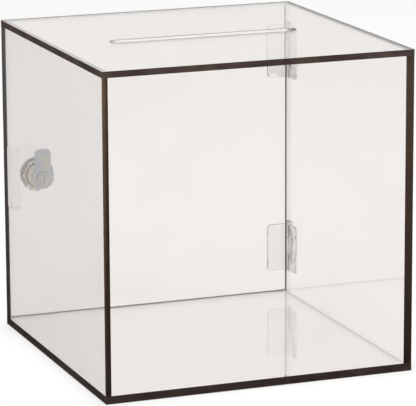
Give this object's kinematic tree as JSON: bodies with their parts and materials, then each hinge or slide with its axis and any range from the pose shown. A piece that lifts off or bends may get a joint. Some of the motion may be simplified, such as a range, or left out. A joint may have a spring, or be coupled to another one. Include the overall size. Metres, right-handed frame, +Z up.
{
  "type": "donation box",
  "caption": "Clear cube-shaped table-top donation box with dark edges, a long round-ended slot in its top panel, and a hinged rear door with a cam lock.",
  "frame": {"origin": "centre of the underside of the base panel, which the box stands on", "axes": "+X to the right and -Y to the front as the giver sees the box, +Z up; the door is at +Y"},
  "size_m": [0.1547, 0.1547, 0.1515],
  "materials": {
    "clear_acrylic": "clear, polished",
    "dark_edge": "dark brown, satin",
    "clear_hinge": "clear, moulded",
    "hinge_pin_steel": "bright drawn",
    "nickel_plate": "nickel plate over die-cast zinc",
    "zinc_plated_steel": "bright zinc plate"
  },
  "bodies": {
    "box": {"base_panel": "clear_acrylic", "front_panel": "clear_acrylic", "left_panel": "clear_acrylic", "right_panel": "clear_acrylic", "top_panel": "clear_acrylic", "base_front_edge_band": "dark_edge", "base_right_edge_band": "dark_edge", "base_rear_edge_band": "dark_edge", "base_left_edge_band": "dark_edge", "top_front_edge_band": "dark_edge", "top_right_edge_band": "dark_edge", "top_rear_edge_band": "dark_edge", "top_left_edge_band": "dark_edge", "front_left_corner_seam": "dark_edge", "front_right_corner_seam": "dark_edge", "left_panel_rear_edge_band": "dark_edge", "right_panel_rear_edge_band": "dark_edge", "lock_keeper": "clear_acrylic", "lower_hinge_box_leaf": "clear_hinge", "lower_hinge_pin": "hinge_pin_steel", "upper_hinge_box_leaf": "clear_hinge", "upper_hinge_pin": "hinge_pin_steel"},
    "rear_door": {"rear_door_panel": "clear_acrylic", "door_left_edge_band": "dark_edge", "door_right_edge_band": "dark_edge", "lower_hinge_door_leaf": "clear_hinge", "upper_hinge_door_leaf": "clear_hinge", "lock_housing": "nickel_plate", "lock_washer": "zinc_plated_steel", "lock_nut": "nickel_plate"},
    "lock_core": {"lock_plug": "nickel_plate", "lock_cam": "zinc_plated_steel", "cam_screw": "zinc_plated_steel"}
  },
  "joints": [
    {"name": "rear_door_swing", "type": "hinge", "parent": "box", "child": "rear_door", "pos_m": [0.0775, 0.0775, 0.075], "axis": [0, 0, -1], "range_deg": [0, 180]},
    {"name": "lock_turn", "type": "hinge", "parent": "rear_door", "child": "lock_core", "pos_m": [-0.057, 0.075, 0.075], "axis": [0, -1, 0], "range_deg": [0, 90]}
  ]
}
